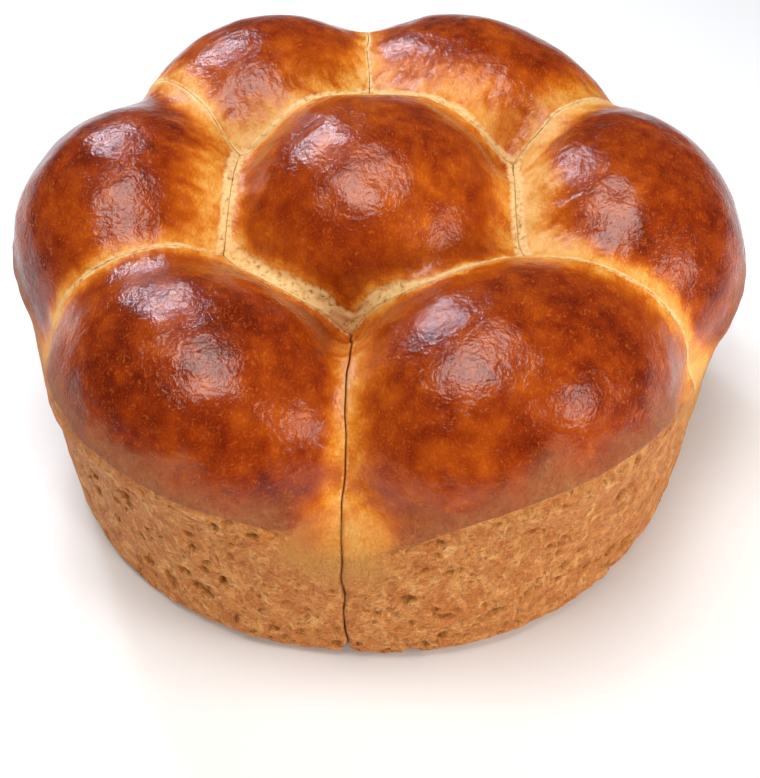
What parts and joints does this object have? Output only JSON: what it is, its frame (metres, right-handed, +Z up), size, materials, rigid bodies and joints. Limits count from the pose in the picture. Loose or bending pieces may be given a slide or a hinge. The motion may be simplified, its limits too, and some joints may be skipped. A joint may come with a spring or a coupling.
{
  "type": "pull-apart loaf of sweet yeast buns",
  "caption": "Round pull-apart loaf of glossy golden-brown yeast buns baked side by side in a round tin, with pale seams and straight sides.",
  "frame": {"origin": "centre of the round flat base, on the surface that the loaf stands on", "axes": "+Z up through the centre bun; -Y is the shown front, where two of the buns meet in one open seam; +X is to the right seen from the front"},
  "size_m": [0.2166, 0.2027, 0.1056],
  "materials": {
    "crust": "egg-washed, baked golden brown and glossy on top; matt, paler and pitted on the tin sides and in the seams"
  },
  "bodies": {
    "root": {"bun_centre": "crust", "bun_front_right": "crust", "bun_right": "crust", "bun_back_right": "crust", "bun_back_left": "crust", "bun_left": "crust", "bun_front_left": "crust"}
  },
  "joints": []
}
